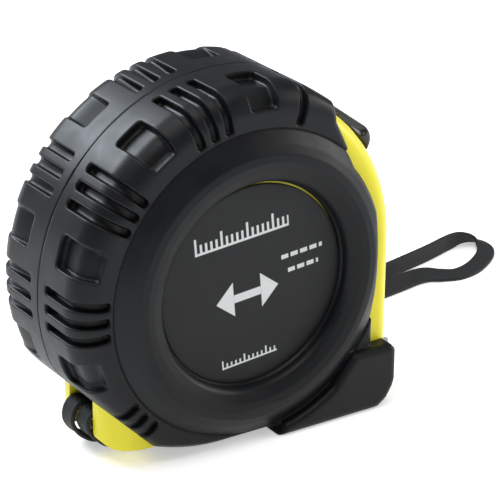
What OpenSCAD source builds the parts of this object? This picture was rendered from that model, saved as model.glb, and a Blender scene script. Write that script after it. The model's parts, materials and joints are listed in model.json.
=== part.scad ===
// Pocket tape measure: yellow two-part case in a rubber jacket with a tyre tread,
// a spring spool with a 19 mm blade, a thumb lock, a belt clip and a wrist strap.
// +X points out of the blade's mouth, -Y is the label side, +Z is up.
// The origin is on the base, straight under the spool's axis.

/* [Case] */
// Radius of the round plastic case
case_r = 32.5; // [32.3:0.1:32.7]
// Half the width of the plastic case
case_half = 12; // [11.9:0.1:12.1]
// Thickness of the case's walls
wall = 2; // [1.8:0.1:2.1]
// Height of the spool's axis over the base
axis_z = 30; // [30:0.5:31]
// Radius of the case's rim and front edges
case_round = 3; // [2:0.5:4]

/* [Rubber jacket] */
// Radius of the tread
tread_r = 35.3; // [35:0.1:35.6]
// Radius of the shoulder between tread and side
shoulder_r = 5; // [4.5:0.5:5]
// Height of the jacket's flat side towards the label, from the middle plane
side_half = 13.7; // [13.5:0.1:13.8]
// Height of the jacket's flat side towards the clip
clip_side_half = 15; // [14.8:0.1:15.2]
// Height of the raised ring round the label, from the middle plane
dome_half = 15.9; // [15.5:0.1:16]
// Width of one tread groove
groove_w = 1.7; // [1.4:0.1:2]
// Depth of the tread grooves
groove_deep = 1.3; // [1:0.1:1.4]

/* [Blade and spool] */
// Width of the blade
blade_w = 19; // [18:0.5:19]
// Radius of the wound blade
roll_r = 20.9; // [20.5:0.1:21]
// Radius of the spool's drum
drum_r = 16.5; // [16:0.1:17]
// Length of blade that can be pulled straight out
blade_len = 52; // [50:1:52]

/* [Lock] */
// Half the width of the thumb button
button_half = 7.5; // [7:0.1:8]
// How far the button slides round the case, in degrees
lock_travel = 11; // [9:1:11]

/* [Strap] */
// Width of the wrist strap
strap_w = 3.8; // [3.6:0.1:3.8]
// Thickness of the wrist strap
strap_t = 0.8; // [0.7:0.1:0.9]

/* [Hidden] */
$fn = 64;
eps = 0.01;
far = 60;             // larger than any half of the object, for cutting shapes

// Case, measured from the spool's axis: x forward, y up, z towards the label
front_centre = [-1.6, 1.3];
front_r = 32.4;       // the rounded front, round this centre
front_x = front_centre[0] + front_r; // the flat front under it
inner_front = 28.6;   // inner face of the front wall
floor_y = -27;        // underside of the case
base_y = -axis_z;     // underside of the rubber
lug_x = -27;          // rear face of the strap lug
lug_half = 11;        // half the lug's width
lug_round = 7;        // its upright edges
lug_corner = 2.2;     // its lower rear corner
lug_gap = 4;          // half the gap between the lug's two ears
gap_r = 31.9;         // floor of the gap
bar = [-24.4, -24.2]; // centre of the strap bar
bar_r = 0.8;
bar_half = 7.5;
cavity_r = case_r - wall;
cavity_half = case_half - wall;
mouth_top = -19.6;
mouth_half = 9.8;
stem_from = 33;       // the button's stem, and the slot that it passes through
stem_to = 47;
slot_half = 2.3;
bosses = [[-19.5, 20.5], [-26.5, -9.5], [27, -15.2]];
boss_r = 2.9;
screw_r = 1.25;
screw_head_r = 2.2;
screw_head_h = 1.6;

// Jacket
hole_r = 18.6;        // hole round the label
ring_r = 28;          // foot of the raised ring
edge_x = 25.8;        // front edge of the jacket's side
edge_r = 27.1;        // which curves back over the axis
top_edge_x = 17;      // front edge of the jacket's top
top_flat_at = 53.5;   // direction that the flat top behind the button faces
top_flat_r = 34;      // its distance from the axis
lug_cut = 46;         // x + y = -46 is the plane that ends the jacket over the lug
bumper_half = 15.6;
bumper_x = 30;
bumper_top = -18;
bumper_r = 28.7;      // its rear edge follows the ring
skirt_round = 7.4;    // lower edge of the side
groove_groups = [72.5, 105.9, 143.6, 180, 220.7];
groove_pitch = 5.5;
groove_in = 2.5;      // the grooves start this far from the seam
groove_foot = 28.8;   // and end at this radius on the side
groove_far_deep = 0.8; // depth of grooves and pockets over the clip side's shoulder
pocket_far_deep = 0.4;
pockets = [87, 124.4, 161.8, 198];
pocket_span = 9.6;
pocket_in = 4.9;
pocket_foot = 31.5;
label_r = 18.2;
label_t = 0.5;

// Blade, hook and spool
blade_t = 0.2;
blade_y = -23.4;      // middle of the blade's hollow
cup_r = 23.6;         // radius of the blade's curved section
hook_x = 33.6;        // inner face of the hook's leg
hook_t = 0.8;
hook_half = 7;
hook_foot = -29.2;
rivets = [[28.4, 0], [30.9, -4], [30.9, 4]];
rivet_r = 0.9;
rivet_head_r = 1.5;
hook_lift = blade_t + 0.05; // the hook's plate over the blade's underside
arbor_r = 4;
running = 0.05;       // radial running clearance
web_t = 1.2;
drum_half = 9.4;

// Lock
arm_r = [25.8, 27.3];
arm_half = 4;
pad_at = -42.6;
pad_r = 1.6;

// Belt clip
clip_half = 8;
clip_t = 1;
clip_tongue = 19.7;   // inner face of the tongue, from the middle plane
clip_top = 13.5;
clip_foot = -17;

// ---- helpers ----

// Stands a shape that was drawn lying on its side: x forward, y up from the
// axis, z towards the label side.
module stand() translate([0, 0, axis_z]) rotate([90, 0, 0]) children();

// A flat drawing between two heights.
module slab(low, high) translate([0, 0, low]) linear_extrude(high - low) children();

// Turns a slab so that it runs along x; its drawing is seen from the front,
// with z to the right and y up.
module along_x() rotate([0, 90, 0]) mirror([1, 0, 0]) children();

// The part of a lying shape on the label side (side = 1) or the clip side (-1).
module half_of(side) intersection() {
    children();
    translate([-far, -far, side > 0 ? 0 : -far]) cube([2 * far, 2 * far, far]);
}

function arc(cx, cy, r, from, to, n) =
    [for (i = [0 : n]) let (a = from + (to - from) * i / n) [cx + r * cos(a), cy + r * sin(a)]];

// A stretch of a ring round the axis, from radius r0 to r1, between two angles.
module sector(r0, r1, half, from, to)
    rotate([0, 0, from]) rotate_extrude(angle = to - from, $fn = 96)
        translate([r0, -half]) square([r1 - r0, 2 * half]);

// ---- case ----

module plan_rounded(x0, x1, half, r) rotate([90, 0, 0]) slab(-far, far)
    hull() for (x = [x0 + r, x1 - r], y = [r - half, half - r])
        translate([x, y]) circle(r = r, $fn = 64);

module rounded_disc(r) rotate_extrude($fn = 128) polygon(concat(
    [[0, -case_half]],
    arc(r - case_round, case_round - case_half, case_round, -90, 0, 8),
    arc(r - case_round, case_half - case_round, case_round, 0, 90, 8),
    [[0, case_half]]));

// What lies behind the case's rounded front, whose disc is the child.
module behind_front() union() {
    translate([-2 * far, -far, -far]) cube(2 * far);
    translate(front_centre) children();
}

module case_disc() intersection() {
    rounded_disc(case_r);
    behind_front() rounded_disc(front_r);
}

// The flat front carries on from the rounded one without a step.
module front_block() intersection() {
    slab(-case_half, case_half)
        translate([0, floor_y]) square([front_x, front_centre[1] - floor_y]);
    plan_rounded(-far / 2, front_x, case_half, case_round);
}

module lug_block() intersection() {
    slab(-lug_half, lug_half) hull() {
        translate([lug_x + lug_corner, floor_y + lug_corner]) circle(r = lug_corner);
        translate([lug_x, -14]) square([1, 3]);
        translate([-14, floor_y]) square([3, 3]);
        translate([-14, -14]) square(3);
    }
    plan_rounded(lug_x, far / 2, lug_half, lug_round);
}

module case_body() {
    intersection() {
        union() {
            case_disc();
            front_block();
        }
        translate([-far, floor_y, -far]) cube(2 * far);
    }
    lug_block();
}

module case_cavity() intersection() {
    union() {
        intersection() {
            cylinder(r = cavity_r, h = 2 * cavity_half, center = true, $fn = 128);
            behind_front() cylinder(r = front_r - wall, h = far, center = true, $fn = 128);
        }
        slab(-cavity_half, cavity_half)
            translate([0, floor_y + wall]) square([inner_front, 1 - floor_y - wall]);
    }
    translate([-far, floor_y + wall, -far]) cube(2 * far);
}

module case_half_shell(side) color("#e4da3c") stand() difference() {
    half_of(side) union() {
        difference() {
            case_body();
            case_cavity();
        }
        for (b = bosses) translate([b[0], b[1], -cavity_half - eps])
            cylinder(r = boss_r, h = 2 * cavity_half + 2 * eps, $fn = 32);
    }
    // Mouth for the blade and slot for the lock
    slab(-mouth_half, mouth_half) translate([inner_front - eps, floor_y + wall])
        square([far, mouth_top - floor_y - wall]);
    sector(cavity_r - 2.5, case_r + 1, slot_half, stem_from - lock_travel - 1, stem_to + 1);
    // Gap between the lug's ears, outside the round wall
    difference() {
        slab(-lug_gap, lug_gap) translate([-far, -far]) square([far - 16, far - 11]);
        cylinder(r = gap_r, h = far, center = true, $fn = 128);
    }
    translate([bar[0], bar[1], -bar_half])
        cylinder(r = bar_r + 0.02, h = 2 * bar_half, $fn = 32);
    // Screws: clearance on the clip side, pilot holes on the label side
    for (b = bosses) translate([b[0], b[1], -case_half - eps]) {
        cylinder(r = screw_r + 0.02, h = case_half + 7.5, $fn = 32);
        cylinder(r = screw_head_r + 0.2, h = screw_head_h + 0.2 + eps, $fn = 32);
    }
    // Sockets for the arbor, its screw and the clip's screw
    cylinder(r = arbor_r + 0.02, h = 2 * cavity_half + 1.4, center = true, $fn = 48);
    translate([0, 0, cavity_half]) cylinder(r = 1.6, h = far, $fn = 32);
    translate([0, 0, case_half - 0.9]) cylinder(r = 3.2, h = far, $fn = 32);
    translate([0, 9, -far]) cylinder(r = 1.27, h = far, $fn = 32);
}

module case_right() case_half_shell(1);
module case_left() case_half_shell(-1);

// ---- rubber jacket ----

// Height of the flat side on the label side (side = 1) or the clip side (-1).
function flat_side(side) = side > 0 ? side_half : clip_side_half;

// Half section of the jacket as it turns round the axis: [radius, height],
// from the hole over side and shoulder to the tread. The label side has a ring.
function jacket_section(side) = let (flat = flat_side(side)) concat(
    [[0, 0], [0, case_half - 1], [hole_r, case_half - 1]],
    side > 0 ? concat(
        arc(hole_r + 1.6, dome_half - 2.4, 1.6, 180, 118, 5),
        [[21.3, 15.6], [22.8, dome_half], [24.2, 15.7], [25.8, 14.9], [ring_r, 13.4]],
        [[ring_r + 0.4, flat]])
    : arc(hole_r + 1, flat - 1, 1, 180, 90, 5),
    arc(tread_r - shoulder_r, flat - shoulder_r, shoulder_r, 90, 0, 10),
    [[tread_r, 0]]);

// What a groove or pocket takes off: everything outside a skin that lies deep
// under the tread and side_deep under the shoulder and the side.
function skin_section(flat, deep, side_deep, inner, foot) = concat(
    [[tread_r - deep, inner]],
    arc(tread_r - shoulder_r, flat - shoulder_r, shoulder_r - side_deep, 0, 90, 10),
    [[foot, flat - side_deep], [foot, flat + 1], [tread_r + 2, flat + 1],
     [tread_r + 2, inner]]);

module tread_cut(side, at, span, far_deep, inner, foot) rotate([0, 0, at - span / 2])
    rotate_extrude(angle = span, $fn = 96) polygon(skin_section(
        flat_side(side), groove_deep, side > 0 ? groove_deep : far_deep, inner, foot));

module tread_cuts(side) {
    single = groove_groups[0];
    triples = [for (g = [1 : len(groove_groups) - 1], k = [-1 : 1])
        groove_groups[g] + k * groove_pitch];
    for (at = concat([single], triples))
        tread_cut(side, at, groove_w / tread_r * 180 / PI, groove_far_deep,
                  groove_in, groove_foot);
    for (at = pockets)
        tread_cut(side, at, pocket_span, pocket_far_deep, pocket_in, pocket_foot);
}

// Height of the flat top's plane at some x.
function top_flat(x) = (top_flat_r - x * cos(top_flat_at)) / sin(top_flat_at);

// Side view of the jacket: behind the front edge, under the flat top, above
// the base and in front of the plane that meets the case over the strap lug.
module jacket_outline() polygon(concat(
    [[edge_x, base_y]],
    arc(0, 0, edge_r, 18, 40, 3),
    [[19.6, 21], [top_edge_x, 26.4], [top_edge_x, top_flat(top_edge_x)],
     [-far, top_flat(-far)], [-far, far - lug_cut], [-lug_cut - base_y, base_y]]));

// The lower edge of the side, seen from the front, is rounded.
module skirt() along_x() slab(-far, far)
    polygon(concat(
        arc(side_half + 2.2 - skirt_round, base_y + skirt_round, skirt_round, 0, -90, 8),
        [[0, base_y], [0, far], [side_half + 2.2, far]]));

module bumper_outline() polygon(concat(
    [[4.5, base_y]],
    arc(0, 0, bumper_r, -78, -55, 4),
    [[20.5, bumper_top], [bumper_x - 1, bumper_top], [bumper_x, bumper_top - 1],
     [bumper_x, -25], [29.5, -26.5], [28.2, -28.6], [26.2, base_y]]));

module bumper() intersection() {
    slab(0, bumper_half) bumper_outline();
    plan_rounded(-far / 2, bumper_x, bumper_half, 1.5);
}

module jacket_half(side) color("#26282a") stand() mirror([0, 0, side > 0 ? 0 : 1])
difference() {
    union() {
        difference() {
            intersection() {
                rotate_extrude($fn = 128) polygon(jacket_section(side));
                slab(0, far) jacket_outline();
                skirt();
            }
            tread_cuts(side);
        }
        bumper();
    }
    case_body();
    cylinder(r = hole_r, h = far, center = true, $fn = 96);
    if (side < 0) for (b = bosses) translate([b[0], b[1], 0])
        cylinder(r = screw_head_r + 0.4, h = far, $fn = 32);
}

module jacket_right() jacket_half(1);
module jacket_left() jacket_half(-1);

module label_disc() color("#303235") stand()
    translate([0, 0, case_half]) cylinder(r = label_r, h = label_t, $fn = 96);

// ---- fasteners and arbor ----

module arbor() color("#c9ccd0") stand() difference() {
    cylinder(r = arbor_r, h = 2 * cavity_half + 1.4, center = true, $fn = 48);
    translate([-0.5, -arbor_r - 1, -7]) cube([1, arbor_r + 2, 14]);
    translate([0, 0, 2]) cylinder(r = 1.27, h = far, $fn = 32);
}

// Screw with a cross in its head; z = 0 is the head's underside.
module screw(length, shank, head, head_h) difference() {
    union() {
        translate([0, 0, -head_h]) cylinder(r = head, h = head_h, $fn = 32);
        translate([0, 0, -0.1]) cylinder(r = shank, h = length + 0.1, $fn = 32);
    }
    for (a = [0, 90]) rotate([0, 0, a])
        translate([-head * 0.6, -0.35, -head_h - eps]) cube([head * 1.2, 0.7, 0.7]);
}

module centre_screw() color("#b9bcc0") stand()
    translate([0, 0, case_half - 0.9]) mirror([0, 0, 1]) screw(8, screw_r, 2.9, 0.8);

module case_screws() color("#b9bcc0") stand()
    for (b = bosses) translate([b[0], b[1], screw_head_h - case_half])
        screw(16, screw_r, screw_head_r, screw_head_h);

// ---- belt clip ----

// Strip bent from sheet steel, drawn as height over the axis and distance
// from the middle plane, and as wide as the clip.
module belt_clip() color("#c4c7ca") stand()
difference() {
    rotate([0, -90, 0]) mirror([1, 0, 0]) slab(-clip_half, clip_half) {
        translate([case_half, -8]) square([clip_t, clip_top + 8]);
        translate([clip_tongue, clip_foot]) square([clip_t, clip_top - clip_foot]);
        translate([(case_half + clip_tongue + clip_t) / 2, clip_top]) clip_bend();
        translate([clip_tongue + clip_t + 2.4, clip_foot]) clip_lip();
    }
    translate([0, 9, -far]) cylinder(r = 1.45, h = far, $fn = 32);
    translate([0, 9, -far]) cylinder(r = 3.2, h = far - case_half - clip_t - 1, $fn = 32);
}

module clip_bend() intersection() {
    bend_r = (clip_tongue + clip_t - case_half) / 2;
    difference() {
        circle(r = bend_r);
        circle(r = bend_r - clip_t);
    }
    translate([-far, 0]) square([2 * far, far]);
}

module clip_lip() intersection() {
    difference() {
        circle(r = 3.4);
        circle(r = 2.4);
    }
    rotate(180) square(far);
    rotate(235) translate([-far, -far]) square([2 * far, far]);
}

module clip_screw() color("#b9bcc0") stand()
    translate([0, 9, -case_half - clip_t]) screw(3.4, screw_r, 2.6, 1.2);

// ---- spool and blade ----

module tube(outer, inner, low, high) translate([0, 0, low]) difference() {
    cylinder(r = outer, h = high - low, $fn = 96);
    translate([0, 0, -1]) cylinder(r = inner, h = high - low + 2, $fn = 96);
}

module spool_drum() color("#e9e9e4") stand() {
    tube(drum_r, drum_r - 1.5, -drum_half, drum_half);
    tube(drum_r - 1, arbor_r + running, -drum_half, web_t - drum_half);
}

module spool_cover() color("#e9e9e4") stand()
    tube(drum_r - 1.52, arbor_r + running, drum_half - web_t, drum_half);

module tape_roll() color("#e8d84a") stand()
    tube(roll_r, drum_r + 0.02, -blade_w / 2, blade_w / 2);

// Spiral strip between the arbor and the drum.
function spiral(r0, r1, turns, offset, steps) = [for (i = [0 : steps])
    let (a = 360 * turns * i / steps, r = r0 + (r1 - r0) * i / steps + offset)
    [r * cos(a), r * sin(a)]];

module power_spring() color("#7d8288") stand() slab(-7.6, 7.6) {
    out = spiral(4.8, 14.6, 6, 0.35, 144);
    in = spiral(4.8, 14.6, 6, 0, 144);
    polygon(concat(out, [for (i = [len(in) - 1 : -1 : 0]) in[i]]));
}

// Section across the blade: a shallow trough.
module trough(half, thick, lift) {
    a = asin(half / cup_r);
    translate([0, cup_r + lift]) polygon(concat(
        arc(0, 0, cup_r, -90 - a, -90 + a, 12),
        arc(0, 0, cup_r - thick, -90 + a, -90 - a, 12)));
}

// A section drawn across the blade, run along it.
module along_blade(x0, x1) translate([0, blade_y, 0]) along_x() slab(x0, x1) children();

module tape_blade() color("#eddc3a") stand() difference() {
    along_blade(hook_x - 0.4 - blade_len, hook_x - 0.4) trough(blade_w / 2, blade_t, 0);
    for (r = rivets) translate([r[0], -far / 2, r[1]]) rotate([-90, 0, 0])
        cylinder(r = rivet_r + 0.02, h = far, $fn = 24);
}

// Height over the lowest line of a trough of some radius, to one side of it.
function trough_rise(radius, aside) = radius - sqrt(radius * radius - aside * aside);

module hook_rivets() color("#d0d2d4") stand() for (r = rivets) {
    foot = trough_rise(cup_r, r[1]) - 0.35;
    top = hook_lift + hook_t + 0.02
        + trough_rise(cup_r - hook_t, abs(r[1]) + rivet_head_r);
    translate([r[0], blade_y, r[1]]) rotate([-90, 0, 0]) {
        translate([0, 0, foot]) cylinder(r = rivet_head_r, h = 0.3, $fn = 24);
        translate([0, 0, foot]) cylinder(r = rivet_r, h = top - foot + 0.2, $fn = 24);
        translate([0, 0, top]) cylinder(r = rivet_head_r, h = 0.5, $fn = 24);
    }
}

// The hook's slots are longer than its rivets by its own thickness, so that
// it reads true both pulled and pushed.
module end_hook() color("#d6d8da") stand() difference() {
    union() {
        along_blade(26.6, hook_x + hook_t) trough(hook_half, hook_t, hook_lift);
        translate([hook_x, hook_foot, -hook_half])
            cube([hook_t, blade_y - hook_foot + 1.6, 2 * hook_half]);
    }
    for (r = rivets) translate([0, blade_y - 1, r[1]]) rotate([-90, 0, 0])
        for (x = [r[0], r[0] - hook_t]) translate([x, 0, 0])
            cylinder(r = rivet_r + 0.05, h = 4, $fn = 24);
    for (r = rivets) translate([r[0] - hook_t, blade_y - 1, r[1] - rivet_r - 0.05])
        cube([hook_t, 4, 2 * rivet_r + 0.1]);
}

module hook_bumper() color("#2a2c2e") stand() {
    slab(-9.5, 9.5) translate([24, floor_y + wall]) square([9.2, 0.9]);
    slab(-8, 8) translate([front_x, -26.8]) square([2.4, 2]);
}

// ---- lock ----

module button_outline() polygon(concat(
    arc(0, 0, case_r + 0.15, 56, 31, 12),
    arc(26.5, 20.1, 1.9, -15, top_flat_at, 6),
    [[18.2, 28.6]]));

module lock_button() color("#222426") stand() {
    difference() {
        slab(-button_half, button_half) button_outline();
        for (side = [-1, 1]) translate([22, 24.2, side * (button_half + 0.5)])
            rotate([0, 0, top_flat_at - 90]) rotate([45 * side, 0, 0])
                translate([-4.6, -0.9, -0.9]) cube([9.2, 1.8, 1.8]);
    }
    sector(arm_r[1] - 0.5, case_r + 0.5, slot_half - 0.25, stem_from, stem_to);
}

module lock_arm() color("#3a3d40") stand() difference() {
    sector(arm_r[0], arm_r[1], arm_half, pad_at, stem_to + 2);
    sector(arm_r[1] - 0.52, case_r, slot_half - 0.23, stem_from - 0.1, stem_to + 0.1);
    translate([26.2 * cos(pad_at), 26.2 * sin(pad_at), 0])
        cylinder(r = pad_r + 0.01, h = far, center = true, $fn = 32);
}

module brake_pad() color("#55585b") stand()
    translate([26.2 * cos(pad_at), 26.2 * sin(pad_at), -arm_half])
        cylinder(r = pad_r, h = 2 * arm_half, $fn = 32);

// ---- wrist strap ----

module strap_bar() color("#c9ccd0") stand() translate([bar[0], bar[1], -bar_half])
    cylinder(r = bar_r, h = 2 * bar_half, $fn = 32);

// Side views of the two legs from the bar, out behind the lug and down.
leg_y = 1.95;
far_side = [[-23, 4.8], [-23.1, 6.2], [-24.2, 7.5], [-25.5, 8.6], [-27, 8.6],
            [-28.2, 7.3], [-28.5, 5.2], [-27.5, 3.2], [-25.7, 1.6], [-23.6, 0.7]];
near_side = [[-23, 4.8], [-23.1, 6.2], [-24.3, 7.5], [-25.7, 8.4], [-27, 7.9],
             [-27.8, 6.3], [-27.2, 4.5], [-25.7, 2.9], [-23.7, 1.5]];
// The rest of the route: place, then how far the strap leans from upright and
// the compass direction that it leans to.
far_leg = [[-20.9, 3.6, 0.45, 90, 130], [-19.9, 9, 0.45, 90, 175],
           [-18.9, 15.4, 0.6, 80, 165], [-15, 21.2, 1.2, 50, 125],
           [-4, 23.6, 1.9, 8, 95], [24, 23.8, 1.95, 0, 90], [48, 27.4, 1.95, 0, 90],
           [72, 32.6, 1.95, 0, 90]];
turn = [[82, 35.4, 1.95, -4, 75], [86.2, 35.9, 1.75, -34, 70], [88.9, 34.7, 1.15, -62, 45],
        [89.2, 32.4, 0.65, -76, 0], [87.2, 29.4, 0.6, -80, -25], [84, 26.8, 0.6, -80, -45],
        [79.6, 24.4, 0.6, -80, -65]];
near_leg = [[75.2, 23.6, 0.6, -80, -85], [71.6, 24.6, 0.85, -74, -115],
            [67.2, 26, 1.2, -62, -90], [56, 24.3, 1.2, -60, -82],
            [22, 20.2, 0.6, -86, -88], [-8, 19.5, 0.5, -90, -85],
            [-17.6, 15.9, 0.9, -90, -35], [-20.2, 8, 1.2, -90, -2],
            [-21.2, 0.6, 1.1, -90, -45]];
route = concat(
    [for (p = far_side) [p[0], leg_y, p[1], 90, 90]],
    far_leg, turn, near_leg,
    [for (i = [len(near_side) - 1 : -1 : 0])
        [near_side[i][0], -leg_y, near_side[i][1], -90, -90]]);

// Smooth curve through four neighbouring points, at u between the middle two.
function smooth(a, b, c, d, u) =
    b + 0.5 * u * (c - a) + u * u * (a - 2.5 * b + 2 * c - 0.5 * d)
    + u * u * u * (1.5 * (b - c) + 0.5 * (d - a));
function at(list, i) = list[max(0, min(len(list) - 1, i))];
function refined(list, long_step) = [for (i = [0 : len(list) - 1])
    each (i == len(list) - 1 ? [list[i]] :
        let (n = norm(list[i + 1] - list[i]) > long_step ? 2 : 1)
        [for (k = [0 : n - 1]) smooth(at(list, i - 1), list[i], list[i + 1],
                                      at(list, i + 2), k / n)])];
function place(p) = [p[0], p[1], p[2]];
function unit(v) = v / norm(v);
function ring_at(list, i) = let (
    p = place(list[i]),
    along = unit(place(at(list, i + 1)) - place(at(list, i - 1))),
    lean = list[i][3],
    side = list[i][4],
    hint = [sin(lean) * cos(side), sin(lean) * sin(side), cos(lean)],
    across = unit(hint - (hint * along) * along),
    out = cross(along, across),
    w = strap_w / 2,
    t = strap_t / 2)
    [for (c = [[w, t / 2], [w * 0.94, t], [-w * 0.94, t], [-w, t / 2],
               [-w, -t / 2], [-w * 0.94, -t], [w * 0.94, -t], [w, -t / 2]])
        p + c[0] * across + c[1] * out];

module wrist_strap() color("#2b2d2f") {
    rings = refined(route, 12);
    n = len(rings);
    points = [for (i = [0 : n - 1]) each ring_at(rings, i)];
    sides = [for (i = [0 : n - 2], k = [0 : 7])
        let (a = 8 * i + k, b = 8 * i + (k + 1) % 8)
        each [[a, b, b + 8], [a, b + 8, a + 8]]];
    polyhedron(points, concat([[7, 6, 5, 4, 3, 2, 1, 0]], sides,
                              [[for (k = [0 : 7]) 8 * (n - 1) + k]]));
}

case_right();
case_left();
jacket_right();
jacket_left();
label_disc();
arbor();
centre_screw();
case_screws();
belt_clip();
clip_screw();
spool_drum();
spool_cover();
tape_roll();
power_spring();
tape_blade();
hook_rivets();
end_hook();
hook_bumper();
lock_button();
lock_arm();
brake_pad();
strap_bar();
wrist_strap();
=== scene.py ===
"""Looks of the pocket tape measure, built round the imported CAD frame.

Lengths inside the shape functions are millimetres, measured from the spool's
axis: x forward, up, and side, the distance from the middle plane. Everything
that reaches Blender is in metres, in the frame's own axes.
"""

import json
import math

import bpy
import numpy as np
from mathutils import Matrix, Vector

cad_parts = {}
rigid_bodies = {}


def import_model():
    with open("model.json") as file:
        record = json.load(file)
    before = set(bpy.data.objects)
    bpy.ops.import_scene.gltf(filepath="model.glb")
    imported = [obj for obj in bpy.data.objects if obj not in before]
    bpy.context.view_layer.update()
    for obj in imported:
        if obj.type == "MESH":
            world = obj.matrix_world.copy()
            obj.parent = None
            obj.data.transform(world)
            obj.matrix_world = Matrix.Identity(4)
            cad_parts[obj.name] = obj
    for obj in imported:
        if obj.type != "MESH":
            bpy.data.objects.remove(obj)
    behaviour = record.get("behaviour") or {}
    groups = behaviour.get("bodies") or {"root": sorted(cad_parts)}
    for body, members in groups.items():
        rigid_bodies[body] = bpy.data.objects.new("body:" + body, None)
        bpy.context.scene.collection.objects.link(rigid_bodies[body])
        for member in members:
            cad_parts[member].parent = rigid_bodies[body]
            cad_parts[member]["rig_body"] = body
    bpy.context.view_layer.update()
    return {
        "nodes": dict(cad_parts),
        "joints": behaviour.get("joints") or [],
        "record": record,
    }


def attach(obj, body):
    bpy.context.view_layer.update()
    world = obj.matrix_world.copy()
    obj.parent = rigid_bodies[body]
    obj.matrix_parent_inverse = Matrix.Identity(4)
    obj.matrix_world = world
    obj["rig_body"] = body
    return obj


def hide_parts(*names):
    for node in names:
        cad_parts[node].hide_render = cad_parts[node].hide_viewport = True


MM = 0.001
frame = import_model()
nodes = frame["nodes"]
spool_joint = next(j for j in frame["joints"] if j["name"] == "spool_spin")
AXIS_UP = spool_joint["pos_m"][2] / MM  # height of the spool's axis over the base

# ---------------------------------------------------------------- camera

CAMERA_AZIMUTH = math.radians(-33.86)
CAMERA_ELEVATION = math.radians(23.09)
CAMERA_ROLL = math.radians(-0.59)
CAMERA_DISTANCE = 0.413
CAMERA_ASIDE = (6.65 * MM, 1.60 * MM)  # right of and above the spool's axis
CAMERA_LENS = 168.8


def make_camera():
    """The camera looks past the spool's axis from the photograph's direction."""
    ca, sa = math.cos(CAMERA_AZIMUTH), math.sin(CAMERA_AZIMUTH)
    ce, se = math.cos(CAMERA_ELEVATION), math.sin(CAMERA_ELEVATION)
    right = Vector((ca, sa, 0))
    back = Vector((sa * ce, -ca * ce, se))
    above = back.cross(right)
    cr, sr = math.cos(CAMERA_ROLL), math.sin(CAMERA_ROLL)
    place = (Vector((0, 0, AXIS_UP * MM)) + back * CAMERA_DISTANCE
             + right * CAMERA_ASIDE[0] + above * CAMERA_ASIDE[1])
    across, upward = right * cr - above * sr, right * sr + above * cr
    data = bpy.data.cameras.new("camera")
    data.lens = CAMERA_LENS
    data.sensor_width = 36
    data.clip_start, data.clip_end = 0.01, 20
    camera = bpy.data.objects.new("camera", data)
    camera.matrix_world = Matrix((
        (across.x, upward.x, back.x, place.x),
        (across.y, upward.y, back.y, place.y),
        (across.z, upward.z, back.z, place.z),
        (0, 0, 0, 1)))
    bpy.context.scene.collection.objects.link(camera)
    bpy.context.scene.camera = camera


# ---------------------------------------------------------------- materials


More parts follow.
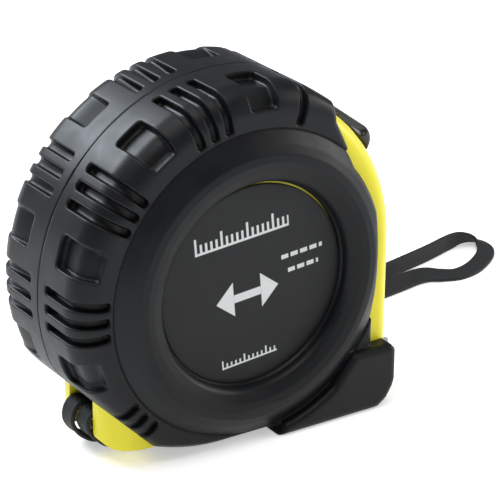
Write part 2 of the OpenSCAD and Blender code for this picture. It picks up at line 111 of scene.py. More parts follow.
class Nodes:
    """Short names for building one material's nodes."""

    def __init__(self, name):
        self.material = bpy.data.materials.new(name)
        self.material.use_nodes = True
        self.tree = self.material.node_tree
        self.shader = self.tree.nodes["Principled BSDF"]
        self.place = self.tree.nodes.new("ShaderNodeTexCoord").outputs["Object"]

    def node(self, kind, **settings):
        made = self.tree.nodes.new(kind)
        for key, value in settings.items():
            setattr(made, key, value)
        return made

    def link(self, out, into):
        self.tree.links.new(out, into)

    def feed(self, value, into):
        """A number is set on the socket, anything else is linked to it."""
        if isinstance(value, (int, float)):
            into.default_value = value
        elif isinstance(value, tuple):
            into.default_value = value if len(value) == len(into.default_value) else (*value, 1)
        else:
            self.link(value, into)

    def noise(self, scale, detail=3.0, rough=0.5, place=None):
        made = self.node("ShaderNodeTexNoise")
        made.inputs["Scale"].default_value = scale
        made.inputs["Detail"].default_value = detail
        made.inputs["Roughness"].default_value = rough
        self.link(place or self.place, made.inputs["Vector"])
        return made.outputs["Fac"]

    def math(self, what, a, b=0.0, c=0.0):
        made = self.node("ShaderNodeMath", operation=what)
        for value, into in zip((a, b, c), made.inputs):
            self.feed(value, into)
        return made.outputs[0]

    def spread(self, value, low, high, to_low, to_high):
        """Carries low..high over to to_low..to_high and holds it there beyond."""
        made = self.node("ShaderNodeMapRange")
        self.feed(value, made.inputs["Value"])
        for key, number in (("From Min", low), ("From Max", high),
                            ("To Min", to_low), ("To Max", to_high)):
            made.inputs[key].default_value = number
        return made.outputs["Result"]

    def mix(self, share, a, b):
        """Colour a where the share is 0 and b where it is 1."""
        made = self.node("ShaderNodeMix", data_type="RGBA")
        self.feed(share, made.inputs["Factor"])
        self.feed(a, made.inputs["A"])
        self.feed(b, made.inputs["B"])
        return made.outputs["Result"]

    def bump(self, height, strength, depth, under=None):
        """Normals of a height, laid over other normals if there are any."""
        made = self.node("ShaderNodeBump")
        made.inputs["Strength"].default_value = strength
        made.inputs["Distance"].default_value = depth
        self.link(height, made.inputs["Height"])
        if under:
            self.link(under, made.inputs["Normal"])
        return made.outputs["Normal"]

    def axes(self, place=None):
        """The three parts of a place, or of the object's own place in millimetres."""
        made = self.node("ShaderNodeSeparateXYZ")
        self.link(place or self.place, made.inputs[0])
        return made.outputs if place else [self.math("MULTIPLY", a, 1 / MM) for a in made.outputs]

    def most(self, masks):
        """The largest of several masks."""
        found = masks[0]
        for mask in masks[1:]:
            found = self.math("MAXIMUM", found, mask)
        return found

    def within(self, length, middle, half, soft=0.06):
        """1 where a length lies within half of the middle, fading to 0 outside."""
        away = self.math("ABSOLUTE", self.math("SUBTRACT", length, middle))
        return self.spread(away, half - soft, half + soft, 1, 0)

    def bar(self, u, v, low, high):
        """A filled rectangle between two corners."""
        sides = [self.within(a, (b + c) / 2, (c - b) / 2) for a, b, c in zip((u, v), low, high)]
        return self.math("MULTIPLY", *sides)

    def comb(self, length, start, pitch, width):
        """Lines across a length, the first at the start."""
        share = self.math("FRACT", self.math("MULTIPLY_ADD", length, 1 / pitch, 0.5 - start / pitch))
        return self.within(share, 0.5, width / pitch / 2, 0.06 / pitch)

    def soft_edges(self, radius):
        """Normals that round a sharp edge off."""
        made = self.node("ShaderNodeBevel", samples=4)
        made.inputs["Radius"].default_value = radius
        return made.outputs["Normal"]

    def finish(self, colour, rough, normal=None, **constant):
        """Wires up the shader; constants are set on its own sockets."""
        self.feed(colour, self.shader.inputs["Base Color"])
        self.feed(rough, self.shader.inputs["Roughness"])
        if normal:
            self.link(normal, self.shader.inputs["Normal"])
        for key, value in constant.items():
            self.shader.inputs[key.replace("_", " ")].default_value = value
        return self.material


def grained(name, dark, light, rough, grain, grain_depth, blotch=90, **constant):
    """A moulded surface: slow blotches of colour and a fine grain."""
    n = Nodes(name)
    slow, fine = n.noise(blotch, 4), n.noise(grain, 2)
    colour = n.mix(n.spread(slow, 0.35, 0.65, 0, 1), dark, light)
    roughness = n.spread(n.noise(blotch * 3, 3), 0.3, 0.7, rough[0], rough[1])
    normal = n.bump(fine, 0.35, grain_depth, n.soft_edges(0.0002))
    return n.finish(colour, roughness, normal, **constant)


def rubber():
    """Matt black rubber with a fine spark-eroded grain and faint pale scuffs."""
    n = Nodes("rubber")
    slow = n.noise(60, 5, 0.6)
    scuff = n.spread(n.noise(420, 6, 0.7), 0.62, 0.8, 0, 0.35)
    base = n.mix(n.spread(slow, 0.35, 0.65, 0, 1), (0.0050, 0.0056, 0.0064), (0.0078, 0.0084, 0.0095))
    colour = n.mix(scuff, base, (0.018, 0.019, 0.021))
    grain = n.math("ADD", n.noise(5200, 2), n.math("MULTIPLY", n.noise(1500, 3), 0.8))
    roughness = n.spread(n.noise(240, 4), 0.3, 0.7, 0.36, 0.46)
    return n.finish(colour, roughness, n.bump(grain, 0.22, 0.00006),
                    Specular_IOR_Level=0.2)


def yellow_plastic():
    """Smooth, slightly glossy case plastic."""
    n = Nodes("yellow_plastic")
    slow = n.noise(45, 4)
    colour = n.mix(n.spread(slow, 0.35, 0.65, 0, 1), (0.80, 0.71, 0.012), (0.84, 0.75, 0.018))
    roughness = n.spread(n.noise(300, 3), 0.3, 0.7, 0.3, 0.42)
    normal = n.bump(n.noise(4200, 2), 0.12, 0.00004, n.soft_edges(0.0003))
    return n.finish(colour, roughness, normal, Specular_IOR_Level=0.4)


def brushed(name, colour, rough, along=(1, 1, 30)):
    """Metal with fine lines; along stretches the noise across them."""
    n = Nodes(name)
    scaled = n.node("ShaderNodeMapping")
    n.link(n.place, scaled.inputs["Vector"])
    scaled.inputs["Scale"].default_value = along
    lines = n.noise(900, 3, 0.6, scaled.outputs[0])
    tone = n.mix(n.spread(lines, 0.3, 0.7, 0, 1), tuple(c * 0.82 for c in colour), colour)
    roughness = n.spread(lines, 0.3, 0.7, rough - 0.06, rough + 0.1)
    normal = n.bump(lines, 0.15, 0.00003, n.soft_edges(0.0002))
    return n.finish(tone, roughness, normal, Metallic=1.0)


MOTIF_TURN = math.radians(5.1)  # how far the label's print is turned on the case


def printed_label():
    """Dark label with a generic motif: two rulers, a dimension arrow and two dashed lines."""
    n = Nodes("label")
    x, _, z = n.axes()
    up = n.math("SUBTRACT", z, AXIS_UP)
    c, s = math.cos(MOTIF_TURN), math.sin(MOTIF_TURN)
    u = n.math("MULTIPLY_ADD", x, c, n.math("MULTIPLY", up, s))
    v = n.math("MULTIPLY_ADD", x, -s, n.math("MULTIPLY", up, c))

    def ruler(left, right, foot, height, pitch, line):
        """A base line with ticks, every fifth one longer."""
        ticks = n.math("MULTIPLY", n.comb(u, left + line / 2, pitch, line),
                       n.bar(u, v, (left, foot), (right, foot + height * 0.62)))
        marks = n.math("MULTIPLY", n.comb(u, left + line / 2, 5 * pitch, line),
                       n.bar(u, v, (left, foot), (right, foot + height)))
        return [ticks, marks, n.bar(u, v, (left, foot), (right, foot + line))]

    def dashes(left, right, foot, height=0.8):
        pitch, dash = 2.0, 1.5
        return n.math("MULTIPLY", n.comb(u, left + 0.7, pitch, dash),
                      n.bar(u, v, (left, foot), (right, foot + height)))

    middle, level, half, head, shaft_half = -1.0, -1.9, 6.4, 3.6, 0.75
    away = n.math("ABSOLUTE", n.math("SUBTRACT", u, middle))
    off = n.math("ABSOLUTE", n.math("SUBTRACT", v, level))
    slant = n.math("MULTIPLY_ADD", n.math("SUBTRACT", half, away), -0.9, off)
    heads = n.math("MULTIPLY", n.spread(slant, -0.06, 0.06, 1, 0),
                   n.spread(away, half - head - 0.06, half - head + 0.06, 0, 1))
    shaft = n.bar(u, v, (middle - half + head, level - shaft_half),
                  (middle + half - head, level + shaft_half))
    print_mask = n.most([heads, shaft, *ruler(-10.8, 8.4, 8.4, 3.2, 1.05, 0.45),
                         *ruler(-7.2, 4.2, -14.6, 1.7, 0.9, 0.32),
                         dashes(6.4, 15.0, 2.4), dashes(7.6, 14.0, -0.4)])
    slow = n.spread(n.noise(80, 4), 0.35, 0.65, 0, 1)
    ground = n.mix(slow, (0.0115, 0.0122, 0.013), (0.0135, 0.0142, 0.015))
    roughness = n.spread(n.noise(260, 3), 0.3, 0.7, 0.42, 0.5)
    return n.finish(n.mix(print_mask, ground, (0.66, 0.67, 0.67)), roughness,
                    n.bump(n.noise(2600, 2), 0.2, 0.00001), Specular_IOR_Level=0.22)


def printed_blade():
    """Yellow blade with a scale along both edges, a line for every millimetre."""
    blade_half, line = 9.5, 0.22
    n = Nodes("blade")
    x, y, _ = n.axes()
    from_edge = n.math("SUBTRACT", blade_half, n.math("ABSOLUTE", y))
    scale = n.most([n.math("MULTIPLY", n.comb(x, 0, pitch, line), n.within(from_edge, 0, long))
                    for pitch, long in ((1, 2.6), (5, 3.8), (10, 5.6))])
    slow = n.spread(n.noise(90, 4), 0.35, 0.65, 0, 1)
    ground = n.mix(slow, (0.78, 0.60, 0.02), (0.84, 0.66, 0.03))
    return n.finish(n.mix(scale, ground, (0.015, 0.015, 0.015)),
                    n.spread(n.noise(270, 3), 0.3, 0.7, 0.25, 0.33),
                    n.bump(n.noise(1800, 2), 0.2, 0.00001))


def woven():
    """Flat woven band: short ribs across it, each a little off its neighbour; painted shade makes it
    darker between the ribs and lighter on their tops.
    """
    rib, thread = 0.75, 0.55  # pitch along the band and across it
    n = Nodes("strap")
    uv = n.node("ShaderNodeUVMap", uv_map="weave").outputs[0]
    run, aside, _ = n.axes(uv)
    shift = n.math("MULTIPLY", n.math("FLOOR", n.math("DIVIDE", aside, thread)), 0.5)
    ribs = n.math("SINE", n.math("MULTIPLY", n.math("ADD", n.math("DIVIDE", run, rib), shift),
                                 2 * math.pi))
    threads = n.math("SINE", n.math("MULTIPLY", n.math("DIVIDE", aside, thread), 2 * math.pi))
    height = n.math("MULTIPLY_ADD", threads, 0.6, ribs)
    rise = n.spread(height, -1.4, 1.4, 0, 1)
    fuzz = n.noise(2600, 4, 0.7)
    # Painted shade: the colour follows the ribs' height, lighter on their tops and darker in the
    # hollows between them; the fuzz adds a random tone.
    colour = n.mix(n.math("MULTIPLY", rise, n.spread(fuzz, 0.3, 0.7, 0.4, 1)),
                   (0.008, 0.0085, 0.009), (0.021, 0.022, 0.024))
    roughness = n.spread(fuzz, 0.3, 0.7, 0.55, 0.7)
    return n.finish(colour, roughness, n.bump(n.math("ADD", rise, fuzz), 0.3, 0.0001),
                    Specular_IOR_Level=0.3)


MATERIALS = {}


def make_materials():
    """One material for each of the record's slots."""
    MATERIALS.update(
        black_rubber=rubber(),
        yellow_plastic=yellow_plastic(),
        label=printed_label(),
        black_plastic=grained("black_plastic", (0.010, 0.0105, 0.011), (0.014, 0.0145, 0.015),
                              (0.2, 0.3), 3000, 0.00002),
        white_plastic=grained("white_plastic", (0.74, 0.74, 0.70), (0.82, 0.82, 0.78),
                              (0.35, 0.45), 2200, 0.00004),
        steel=brushed("steel", (0.62, 0.63, 0.65), 0.3),
        spring_steel=brushed("spring_steel", (0.20, 0.23, 0.28), 0.32, (1, 30, 1)),
        blade=printed_blade(),
        strap=woven())


SLOTS = {s["node"]: s["material_slot"] for s in frame["record"]["subparts"]}


def wear(obj, slot):
    """Gives an object the material of one of the record's slots."""
    obj.data.materials.clear()
    obj.data.materials.append(MATERIALS[slot])


def stand_for(piece, node):
    """Dresses a piece as the CAD node that it replaces and lets it ride on its body."""
    wear(piece, SLOTS[node])
    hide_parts(node)
    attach(piece, nodes[node]["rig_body"])


def add_mesh(name, points, faces, smooth):
    """An object with a new mesh, in metres; smooth is one flag for each face."""
    mesh = bpy.data.meshes.new(name)
    mesh.from_pydata(points, [], faces)
    mesh.polygons.foreach_set("use_smooth", smooth)
    obj = bpy.data.objects.new(name, mesh)
    bpy.context.scene.collection.objects.link(obj)
    return obj


# ---------------------------------------------------------------- stage


def area_light(name, place, target, size, power, colour=(1, 1, 1)):
    """A soft rectangular lamp that faces its target."""
    data = bpy.data.lights.new(name, "AREA")
    data.shape = "RECTANGLE"
    data.size, data.size_y = size
    data.energy = power
    data.color = colour
    light = bpy.data.objects.new(name, data)
    light.location = place
    light.rotation_euler = (Vector(target) - Vector(place)).to_track_quat("-Z", "Y").to_euler()
    bpy.context.scene.collection.objects.link(light)


def make_stage():
    """A pale floor, a pale surround and soft lamps from above, left and right."""
    half = 6
    floor = add_mesh("floor", [(-half, -half, 0), (half, -half, 0), (half, half, 0), (-half, half, 0)],
                     [(0, 1, 2, 3)], [False])
    paint = Nodes("floor").finish((0.9, 0.9, 0.9), 0.9, Emission_Color=(1, 1, 1, 1),
                                  Emission_Strength=0.45)
    floor.data.materials.append(paint)
    world = bpy.data.worlds.new("world")
    bpy.context.scene.world = world
    world.use_nodes = True
    sky = world.node_tree.nodes["Background"]
    sky.inputs["Color"].default_value = (1, 1, 1, 1)
    sky.inputs["Strength"].default_value = 0.25
    aim = (0, 0, 0.03)
    area_light("back_left", (-0.30, 0.75, 0.62), aim, (0.5, 0.45), 12, (0.85, 0.92, 1))
    area_light("top", (-0.1, -0.15, 0.9), aim, (0.7, 0.7), 4.5)
    area_light("right", (0.8, -0.25, 0.28), aim, (0.4, 0.4), 3.2)
    bpy.context.scene.view_settings.view_transform = "Standard"


# ---------------------------------------------------------------- shapes


def arc(cx, cy, r, start, end, n):
    """Points on a circle, from one angle to another in degrees."""
    return [(cx + r * math.cos(math.radians(start + (end - start) * i / n)),
             cy + r * math.sin(math.radians(start + (end - start) * i / n)))
            for i in range(n + 1)]


class Outline:
    """Distance to a closed outline, negative inside, read from a fine table.

    Each round of softening rounds the outline's corners off a little more.
    """

    STEP = 0.1

    def __init__(self, points, low, high, soften=0):
        self.low = low
        axes = [np.arange(low[k], high[k] + self.STEP, self.STEP) for k in (0, 1)]
        px, py = np.meshgrid(*axes, indexing="ij")
        best = np.full(px.shape, np.inf)
        inside = np.zeros(px.shape, bool)
        for (ax, ay), (bx, by) in zip(points, points[1:] + points[:1]):
            dx, dy = bx - ax, by - ay
            t = np.clip(((px - ax) * dx + (py - ay) * dy) / max(dx * dx + dy * dy, 1e-9), 0, 1)
            best = np.minimum(best, (px - ax - t * dx) ** 2 + (py - ay - t * dy) ** 2)
            crosses = (ay > py) != (by > py)
            at = ax + (py - ay) * dx / (dy if dy else 1e-9)
            inside ^= crosses & (px < at)
        table = np.sqrt(best) * np.where(inside, -1, 1)
        for _ in range(soften):
            for axis in (0, 1):
                p = np.pad(table, 1, mode="edge")
                p = p[1:-1] if axis else p[:, 1:-1]
                n = table.shape[axis]
                table = (np.take(p, range(n), axis) + 2 * table
                         + np.take(p, range(2, n + 2), axis)) / 4
        self.table = table

    def __call__(self, a, b):
        fa = np.clip((a - self.low[0]) / self.STEP, 0, self.table.shape[0] - 1.001)
        fb = np.clip((b - self.low[1]) / self.STEP, 0, self.table.shape[1] - 1.001)
        ia, ib = fa.astype(int), fb.astype(int)
        fa, fb = fa - ia, fb - ib
        t = self.table
        return ((t[ia, ib] * (1 - fb) + t[ia, ib + 1] * fb) * (1 - fa)
                + (t[ia + 1, ib] * (1 - fb) + t[ia + 1, ib + 1] * fb) * fa)


def join(a, b, k):
    """Union of two shapes with a fillet about k wide."""
    h = np.maximum(k - np.abs(a - b), 0) / k
    return np.minimum(a, b) - h * h * k / 4


def cut(a, b, k):
    """What two shapes share, its edge rounded about k wide."""
    return -join(-a, -b, k)


def crossings(f, g):
    """Where two neighbours differ in sign, and how far along, from 0 to 1, the surface is."""
    with np.errstate(divide="ignore", invalid="ignore"):
        return (f < 0) != (g < 0), f / (f - g)


def surface_net(f, wrap):
    """Points in grid units and quads of the surface where f changes sign.

    With wrap, the grid's first axis goes once round and closes on itself.
    """
    if wrap:
        f = np.concatenate([f, f[:1]])
    cells = tuple(n - 1 for n in f.shape)
    total, count = np.zeros((3, *cells)), np.zeros(cells, np.int8)

    def corner(offset):
        return f[tuple(slice(o, o + n) for o, n in zip(offset, cells))]

    for axis in range(3):
        others = [k for k in range(3) if k != axis]
        for u in (0, 1):
            for v in (0, 1):
                start = [0, 0, 0]
                start[others[0]], start[others[1]] = u, v
                end = list(start)
                end[axis] = 1
                hit, t = crossings(corner(start), corner(end))
                t = np.where(hit, t, 0)
                total[axis] += t
                total[others[0]] += u * hit
                total[others[1]] += v * hit
                count += hit
    used = count > 0
    index = np.full(cells, -1)
    index[used] = np.arange(used.sum())
    points = np.stack([(total[k][used] / count[used]) + np.nonzero(used)[k] for k in range(3)], 1)
    quads = []
    for axis in range(3):
        a, b = [k for k in range(3) if k != axis]
        low = [slice(0 if k == axis or (wrap and k == 0) else 1, -1) for k in range(3)]
        high = list(low)
        high[axis] = slice(1, None)
        first, second = f[tuple(low)] < 0, f[tuple(high)] < 0
        hit = np.nonzero(first != second)
        here = [h + part.start for h, part in zip(hit, low)]
        ring = []
        for da, db in ((-1, -1), (0, -1), (0, 0), (-1, 0)):
            cell = list(here)
            cell[a], cell[b] = here[a] + da, here[b] + db
            if wrap:
                cell[0] = cell[0] % cells[0]
            ring.append(index[tuple(cell)])
        ring = np.stack(ring, 1)
        flip = first[hit] ^ (axis == 1)
        ring[flip] = ring[flip][:, ::-1]
        quads.append(ring)
    return points, np.concatenate(quads)


def slope(shape, p, step=0.02):
    """Unit gradient of a distance function at some points."""
    found = np.stack([shape(*(p + d).T) - shape(*(p - d).T) for d in np.eye(3) * step], 1)
    return found / np.maximum(np.linalg.norm(found, axis=1, keepdims=True), 1e-9)


def solid_from(name, shape, points, quads, to_row):
    """Moves a surface net's points onto the shape and makes a smooth mesh of it."""
    rounds, furthest = 3, 0.3
    for _ in range(rounds):
        away = np.clip(shape(*points.T), -furthest, furthest)
        points = points - slope(shape, points) * away[:, None]
    normals = slope(shape, points) @ to_row[:3, :3].T
    row = (points @ to_row[:3, :3].T + to_row[:3, 3]) * MM
    corners = row[quads]
    face = np.cross(corners[:, 2] - corners[:, 0], corners[:, 3] - corners[:, 1])
    if (face * normals[quads].mean(1)).sum() < 0:
        quads = quads[:, ::-1]
    obj = add_mesh(name, row.tolist(), quads.tolist(), [True] * len(quads))
    obj.data.normals_split_custom_set_from_vertices(normals.tolist())
    return obj


# Each carries x, up and side over to the frame's axes
TO_LABEL_SIDE = np.array([[1, 0, 0, 0], [0, 0, -1, 0], [0, 1, 0, AXIS_UP]], float)
TO_CLIP_SIDE = np.array([[1, 0, 0, 0], [0, 0, 1, 0], [0, 1, 0, AXIS_UP]], float)


# ---------------------------------------------------------------- jacket

CASE_R, CASE_HALF, CASE_ROUND = 32.5, 12.0, 3.0  # the case's disc and its soft edge
FRONT_CENTRE, FRONT_R = (-1.6, 1.3), 32.4  # the case's front is rounded round this centre
FLOOR_UP, BASE_UP = -27.0, -AXIS_UP  # underside of the case, and what the tape stands on
TREAD_R, SHOULDER_R = 35.3, 5.0
TREAD_CENTRE = (0.3, 0.4)  # the tread sits a little ahead of and above the axis
LABEL_SIDE_HALF, CLIP_SIDE_HALF = 13.7, 15.0  # the jacket's flat sides
DOME_HALF, HOLE_R, RING_R = 15.9, 18.6, 28.0  # the ring's crown, the clip side's hole, the ring's foot
HOLE_FOOT_R = 18.4  # where the ring's inner wall meets the label
RING_FOOT_SIDE = 13.4  # where the ring's outer slope meets the jacket's flat side
EDGE_X, EDGE_R, TOP_EDGE_X = 25.8, 27.1, 17.0  # front edge: low, half way up and on the top
LUG_CUT = 46.0  # the jacket ends over the lug where x + up = -LUG_CUT
TOP_FLAT_AT, TOP_FLAT_R = 53.5, 34.0  # the flat top behind the button: its direction, its distance
# Grooves and pockets start IN away from the middle plane and run down to the radius FOOT
GROOVE_W, GROOVE_DEEP, GROOVE_IN, GROOVE_FOOT = 1.6, 1.5, 2.5, 28.8
CLIP_GROOVE_DEEP, CLIP_POCKET_DEEP = 0.8, 0.4  # over the clip side's shoulder
GROOVES = [72.5] + [g + k * 5.5 for g in (105.9, 143.6, 180, 220.7) for k in (-1, 0, 1)]
POCKETS, POCKET_SPAN, POCKET_IN, POCKET_FOOT = (87, 124.4, 161.8, 198), 9.6, 4.9, 31.5
BUMPER_X, BUMPER_TOP, BUMPER_HALF = 30.0, -18.0, 15.6
BUMPER_REAR_X, BUMPER_REAR_R = 4.5, 28.4  # its rear edge: at the base, and along the ring's foot
SCREWS, SCREW_HOLE_R = ((-19.5, 20.5), (-26.5, -9.5), (27, -15.2)), 2.6  # on the clip side
REAR_RISE, REAR_START_X = 0.015, -6  # the lower edge curves up towards the rear
SKIRT_OUT, SKIRT_ROUND = 2.2, 8.7  # rounding of the lower edge: how far outside the side, how wide
SHALLOW_FROM, SHALLOW_OVER = 4, 7  # where the clip side's grooves get shallower
OUTLINE_ROUND, RIM_ROUND, FLOOR_ROUND = 1.5, 0.3, 0.6  # of the jacket, a groove's rim and its floor
INSIDE = 0.25  # how far the rubber reaches into the case's wall, out of sight
TABLE_LOW, TABLE_HIGH = (-45, -45), (45, 45)
SECTION_LOW, SECTION_HIGH = (15, -2), (46, 20)
FAR = 80  # well outside the jacket
ELSEWHERE = 9.0  # stands for a distance where a shape has no say


def tread_section(flat):
    """Half section of side, shoulder and tread: radius and height over the middle plane."""
    points = ([(-5, -5), (-5, flat)]
              + arc(TREAD_R - SHOULDER_R, flat - SHOULDER_R, SHOULDER_R, 90, 0, 24)
              + [(TREAD_R, -5)])
    return Outline(points, SECTION_LOW, SECTION_HIGH, 1)


def ring_section():
    """Half section of the raised ring, from the label's edge over its crown to its foot."""
    points = ([(HOLE_FOOT_R, -5), (HOLE_FOOT_R, 12.7), (HOLE_FOOT_R + 0.4, 13.2)]
              + arc(20.6, DOME_HALF - 2.4, 1.7, 168, 118, 5)
              + [(21.3, 15.6), (22.8, DOME_HALF), (24.2, 15.7), (25.8, 14.9), (RING_R, 13.4),
                 (RING_R + 2, 10), (RING_R + 2, -5)])
    return Outline(points, SECTION_LOW, SECTION_HIGH, 2)


def top_flat(x):
    """Height of the flat top's plane at some x."""
    at = math.radians(TOP_FLAT_AT)
    return (TOP_FLAT_R - x * math.cos(at)) / math.sin(at)


def jacket_side_view():
    """Front edge, its step back behind the button, flat top and the cut over the lug."""
    return Outline([(EDGE_X, BASE_UP)] + arc(0, 0, EDGE_R, 18, 40, 5)
                   + [(19.6, 21), (TOP_EDGE_X, 26.4), (TOP_EDGE_X, top_flat(TOP_EDGE_X)),
                      (-FAR, top_flat(-FAR)), (-FAR, FAR - LUG_CUT),
                      (-LUG_CUT - BASE_UP, BASE_UP)], TABLE_LOW, TABLE_HIGH, 3)


def bumper_side_view():
    """The thick block at the lower front, its nose drawn in towards the base."""
    return Outline([(BUMPER_REAR_X, BASE_UP)] + arc(0, 0, BUMPER_REAR_R, -78, -55, 5)
                   + [(20.5, BUMPER_TOP), (BUMPER_X - 1, BUMPER_TOP),
                      (BUMPER_X, BUMPER_TOP - 1), (BUMPER_X, -25), (29.5, -26.5),
                      (28.2, -28.6), (26.2, BASE_UP)], TABLE_LOW, TABLE_HIGH, 3)


def case_solid(x, up, side):
    """The plastic case, which the rubber leaves free."""
    r = np.hypot(x, up)

    def rounded(a, b):
        a, b = a + CASE_ROUND, b + CASE_ROUND
        return (np.hypot(np.maximum(a, 0), np.maximum(b, 0)) + np.minimum(np.maximum(a, b), 0)
                - CASE_ROUND)

    across = np.abs(side) - CASE_HALF
    disc = rounded(r - CASE_R, across)
    front = rounded(np.hypot(x - FRONT_CENTRE[0], up - FRONT_CENTRE[1]) - FRONT_R, across)
    disc = np.maximum(disc, np.where(x > 0, front, -ELSEWHERE))
    block = np.maximum(np.maximum(rounded(x - FRONT_CENTRE[0] - FRONT_R, across), -x),
                       up - FRONT_CENTRE[1])
    return np.maximum(np.minimum(disc, block), FLOOR_UP - up)


def make_jacket(name, node, label_side, to_row):
    """One half of the rubber jacket, as a fine mesh of a distance function."""
    flat = LABEL_SIDE_HALF if label_side else CLIP_SIDE_HALF
    section, ring = tread_section(flat), ring_section()
    view, block = jacket_side_view(), bumper_side_view()

    def deep(side, shoulder_deep):
        """Depth of a groove, which can get shallower over the shoulder."""
        if label_side:
            return GROOVE_DEEP
        share = np.clip((side - SHALLOW_FROM) / SHALLOW_OVER, 0, 1)
        return GROOVE_DEEP + (shoulder_deep - GROOVE_DEEP) * share * share * (3 - 2 * share)

    def sink(body, across, ends, floor, corner):
        """Takes a groove or pocket out, its own corners rounded about corner wide."""
        return cut(body, -cut(cut(across, ends, corner), floor, FLOOR_ROUND), RIM_ROUND)

    def shape(x, up, side):
        r, angle = np.hypot(x, up), np.arctan2(up, x)
        skin = section(np.hypot(x - TREAD_CENTRE[0], up - TREAD_CENTRE[1]), side)
        body = skin
        if label_side:
            foot_r = RING_R + np.maximum(side - RING_FOOT_SIDE, 0)
            body = np.minimum(cut(skin, foot_r - r, 0.2), ring(r, side))
        body = cut(body, view(x, up), OUTLINE_ROUND)
        base = BASE_UP - up + REAR_RISE * np.maximum(REAR_START_X - x, 0) ** 2
        body = np.maximum(body, cut(side - LABEL_SIDE_HALF - SKIRT_OUT, base, SKIRT_ROUND))
        for degrees in GROOVES:
            across = np.abs(r * np.sin(angle - math.radians(degrees))) - GROOVE_W / 2
            across = np.where(np.cos(angle - math.radians(degrees)) < 0, ELSEWHERE, across)
            ends = cut(GROOVE_IN - side, GROOVE_FOOT - r, 0.4)
            floor = -(skin + deep(side, CLIP_GROOVE_DEEP))
            body = sink(body, across, ends, floor, 0.8)
        for degrees in POCKETS:
            turn = (angle - math.radians(degrees) + math.pi) % (2 * math.pi) - math.pi
            across = (np.abs(turn) - math.radians(POCKET_SPAN / 2)) * TREAD_R
            ends = cut(POCKET_IN - side, POCKET_FOOT - r, 0.8)
            floor = -(skin + deep(side, CLIP_POCKET_DEEP))
            body = sink(body, across, ends, floor, 1.0)
        bumper = cut(block(x, up), side - BUMPER_HALF, 1.6)
        body = join(body, bumper, 0.35)
        body = np.maximum(body, -(case_solid(x, up, side) + INSIDE))
        body = cut(body, (HOLE_FOOT_R if label_side else HOLE_R) - r, 0.2 if label_side else 1.0)
        if not label_side:
            for sx, su in SCREWS:
                body = cut(body, SCREW_HOLE_R - np.hypot(x - sx, up - su), 0.4)
        return cut(body, -side, 0.25)

    turns, step = 660, 0.33  # about the same spacing round the tread as across it
    r, side = np.arange(17.5, 44.5, step), np.arange(-2 * step, 17.2, step)
    angle = np.arange(turns) * 2 * math.pi / turns
    ga, gr, gs = np.meshgrid(angle, r, side, indexing="ij")
    field = shape((gr * np.cos(ga)).ravel(), (gr * np.sin(ga)).ravel(), gs.ravel())
    points, quads = surface_net(field.reshape(ga.shape), wrap=True)
    pa = points[:, 0] * 2 * math.pi / turns
    pr, ps = r[0] + points[:, 1] * step, side[0] + points[:, 2] * step
    placed = np.stack([pr * np.cos(pa), pr * np.sin(pa), ps], 1)
    stand_for(solid_from(name, shape, placed, quads, to_row), node)


# ---------------------------------------------------------------- wrist strap

STRAP_W, STRAP_T, LEG_SIDE = 3.8, 0.8, 1.95
BEAD_R, WEB_SHARE = 0.42, 0.62  # the bead along each edge, the web's thickness beside it
# Side views of the two legs from the bar, out behind the lug and down
FAR_LEG = [(-23, 4.8), (-23.1, 6.2), (-24.2, 7.5), (-25.5, 8.6), (-27, 8.6),
           (-28.2, 7.3), (-28.5, 5.2), (-27.5, 3.2), (-25.7, 1.6), (-23.6, 0.7)]
NEAR_LEG = [(-23, 4.8), (-23.1, 6.2), (-24.3, 7.5), (-25.7, 8.4), (-27, 7.9),
            (-27.8, 6.3), (-27.2, 4.5), (-25.7, 2.9), (-23.7, 1.5)]
# Place, lean from upright and the compass direction of the lean, in degrees
LYING = [(-20.9, 3.6, 0.45, 90, 130), (-19.9, 9, 0.45, 90, 175), (-18.9, 15.4, 0.6, 80, 165),
         (-15, 21.2, 1.2, 50, 125), (-4, 23.6, 1.9, 8, 95), (24, 23.8, 1.95, 0, 90),
         (48, 27.4, 1.95, 0, 90), (72, 32.6, 1.95, 0, 90),
         (82, 35.4, 1.95, -4, 75), (86.2, 35.9, 1.75, -34, 70), (88.9, 34.7, 1.15, -62, 45),
         (89.2, 32.4, 0.65, -76, 0), (87.2, 29.4, 0.6, -80, -25), (84, 26.8, 0.6, -80, -45),
         (79.6, 24.4, 0.6, -80, -65), (75.2, 23.6, 0.6, -80, -85),
         (71.6, 24.6, 0.85, -74, -115), (67.2, 26, 1.2, -62, -90), (56, 24.3, 1.2, -60, -82),
         (22, 20.2, 0.6, -86, -88), (-8, 19.5, 0.5, -90, -85),
         (-17.6, 15.9, 0.9, -90, -35), (-20.2, 8, 1.2, -90, -2), (-21.2, 0.6, 1.1, -90, -45)]


def smooth_line(points, between):
    """A curve through the points, with some more between each two."""
    p = np.array(points, float)
    p = np.concatenate([p[:1], p, p[-1:]])
    u = (np.arange(between) / between)[:, None]
    out = [b + 0.5 * u * (c - a) + u * u * (a - 2.5 * b + 2 * c - 0.5 * d)
           + u ** 3 * (1.5 * (b - c) + 0.5 * (d - a))
           for a, b, c, d in zip(p, p[1:], p[2:], p[3:])]
    return np.concatenate([*out, p[-2:-1]])


def strap_rings():
    """Centre, width direction and thickness direction along the strap."""
    route = ([(x, LEG_SIDE, z, 90, 90) for x, z in FAR_LEG] + LYING
             + [(x, -LEG_SIDE, z, -90, -90) for x, z in reversed(NEAR_LEG)])
    line = smooth_line(route, 12)
    centre = line[:, :3]
    along = np.gradient(centre, axis=0)
    along /= np.linalg.norm(along, axis=1, keepdims=True)
    lean, side = np.radians(line[:, 3]), np.radians(line[:, 4])
    hint = np.stack([np.sin(lean) * np.cos(side), np.sin(lean) * np.sin(side), np.cos(lean)], 1)
    across = hint - (hint * along).sum(1, keepdims=True) * along
    across /= np.linalg.norm(across, axis=1, keepdims=True)
    return centre, across, np.cross(along, across)


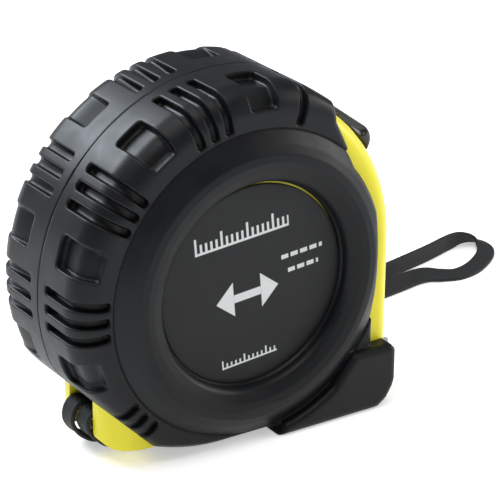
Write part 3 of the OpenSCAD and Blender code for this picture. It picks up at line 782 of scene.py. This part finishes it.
def strap_section():
    """Outline of the flat strap: a bead along each edge and a thinner web."""
    web_half = STRAP_W / 2 - 2.4 * BEAD_R
    right = arc(STRAP_W / 2 - BEAD_R, 0, BEAD_R, -78, 78, 8)
    web = [(x, STRAP_T / 2 * WEB_SHARE) for x in np.linspace(web_half, -web_half, 7)]
    top = right + web
    return top + [(-x, -y) for x, y in top]


def lay_out_weave(mesh, centre, section):
    """Texture coordinates in millimetres: along the strap and across it."""
    step = np.linalg.norm(np.diff(centre, axis=0), axis=1)
    run = np.concatenate([[0], np.cumsum(step)])
    m = len(section)
    corner = np.empty(len(mesh.loops), np.int32)
    mesh.loops.foreach_get("vertex_index", corner)
    flat = np.stack([run[corner // m], section[corner % m, 0]], 1)
    mesh.uv_layers.new(name="weave").data.foreach_set("uv", flat.ravel())


def make_strap():
    """The strap as one band swept along its route, both ends at the bar."""
    centre, across, out = strap_rings()
    section = np.array(strap_section())
    n, m = len(centre), len(section)
    points = (centre[:, None] + section[None, :, :1] * across[:, None]
              + section[None, :, 1:] * out[:, None]).reshape(-1, 3) * MM
    faces = [(i * m + k, i * m + (k + 1) % m, (i + 1) * m + (k + 1) % m, (i + 1) * m + k)
             for i in range(n - 1) for k in range(m)]
    faces += [tuple(range(m))[::-1], tuple((n - 1) * m + k for k in range(m))]
    band = add_mesh("strap_band", points.tolist(), faces, [True] * len(faces))
    lay_out_weave(band.data, centre, section)
    stand_for(band, "wrist_strap")


# ---------------------------------------------------------------- label

LABEL_R, LABEL_CENTRE = 18.3, (0.2, -0.34)
LABEL_FACE, LABEL_BACK, LABEL_EDGE = CASE_HALF + 0.5, CASE_HALF + 0.02, 0.18
LABEL_BULGE = 0.06


def make_label():
    """A thin disc with a rounded rim and a face that bulges a little."""
    rings = 24
    face = [(LABEL_R * k / rings, LABEL_FACE + LABEL_BULGE * (1 - (k / rings) ** 2))
            for k in range(1, rings)]
    rim = arc(LABEL_R - LABEL_EDGE, LABEL_FACE - LABEL_EDGE, LABEL_EDGE, 80, 0, 6)
    profile = face + rim + [(LABEL_R, LABEL_BACK)]
    turns, rows = 180, len(profile)
    points = [(0, 0, LABEL_FACE + LABEL_BULGE)]
    for k in range(turns):
        angle = 2 * math.pi * k / turns
        points += [(r * math.cos(angle), r * math.sin(angle), up) for r, up in profile]
    points.append((0, 0, LABEL_BACK))
    faces = []
    for k in range(turns):
        here, after = 1 + k * rows, 1 + (k + 1) % turns * rows
        faces.append((0, here, after))
        faces += [(here + i, here + i + 1, after + i + 1, after + i) for i in range(rows - 1)]
        faces.append((here + rows - 1, len(points) - 1, after + rows - 1))
    lying = np.array(points) + (*LABEL_CENTRE, 0)
    row = (lying @ TO_LABEL_SIDE[:, :3].T + TO_LABEL_SIDE[:, 3]) * MM
    smooth = [len(f) == 4 or 0 in f for f in faces]
    stand_for(add_mesh("label_plate", row.tolist(), faces, smooth), "label_disc")


# ---------------------------------------------------------------- thumb button

# "Out" runs from the spool's axis to the button's top, "along" runs down its slope
BUTTON_HALF, BUTTON_STEP = 7.5, 0.2
BUTTON_CLEAR = 0.15  # gap over the case
CORNER, CORNER_R = (25.6, 19.15), 3.2  # the rounded lower end
SCOOP_OUT, SCOOP_ASIDE, SCOOP_R = 32.9, 0.35, 1.05  # its axis lies this far beside the side
SCOOP_MIDDLE, SCOOP_REACH = 3.6, 5.2  # its middle along the slope and half its length
GRIPS, GRIP_FIRST, GRIP_PITCH, GRIP_HALF = 5, 1.2, 1.5, 0.35
GRIP_FLOOR, GRIP_MARGIN = 33.45, 1.8  # how far out the grooves' floor is, how far from the sides


def button_side_view():
    """The case's own curve below, a rounded lower end and the flat top."""
    return Outline(arc(0, 0, CASE_R + BUTTON_CLEAR, 56, 31, 12)
                   + arc(*CORNER, CORNER_R, -15, TOP_FLAT_AT, 8)
                   + [(18.2, 28.6)], (10, 10), (34, 34), 1)


def make_button():
    """Thumb button: a rounded block with a scooped line on both sides and grip grooves."""
    view = button_side_view()
    at = math.radians(TOP_FLAT_AT)

    def shape(x, up, side):
        out = x * math.cos(at) + up * math.sin(at)  # towards the button's top
        along = x * math.sin(at) - up * math.cos(at)  # and down its slope
        body = cut(view(x, up), np.abs(side) - BUTTON_HALF, 1.1)
        beyond = np.maximum(np.abs(along - SCOOP_MIDDLE) - SCOOP_REACH, 0)
        aside = np.abs(side) - BUTTON_HALF
        scoop = np.sqrt((out - SCOOP_OUT) ** 2 + (aside - SCOOP_ASIDE) ** 2 + beyond ** 2)
        body = cut(body, SCOOP_R - scoop, 0.25)
        for k in range(GRIPS):
            off = np.abs(along - GRIP_FIRST - GRIP_PITCH * k) - GRIP_HALF
            grip = cut(cut(off, aside + GRIP_MARGIN, 0.3), GRIP_FLOOR - out, 0.3)
            body = cut(body, -grip, 0.25)
        return body

    axes = [np.arange(low, high, BUTTON_STEP)
            for low, high in ((16, 31), (14, 31.4), (-BUTTON_HALF - 1, BUTTON_HALF + 1))]
    grid = np.meshgrid(*axes, indexing="ij")
    points, quads = surface_net(shape(*(g.ravel() for g in grid)).reshape(grid[0].shape), False)
    placed = points * BUTTON_STEP + [a[0] for a in axes]
    stand_for(solid_from("thumb_button", shape, placed, quads, TO_LABEL_SIDE), "lock_button")


# ---------------------------------------------------------------- CAD nodes


def dress_cad():
    """Every CAD node takes the material of its own slot."""
    for name, obj in nodes.items():
        wear(obj, SLOTS[name])


make_camera()
make_materials()
make_strap()
make_stage()
dress_cad()
make_jacket("jacket_label_side", "jacket_right", True, TO_LABEL_SIDE)
make_jacket("jacket_clip_side", "jacket_left", False, TO_CLIP_SIDE)
make_label()
make_button()
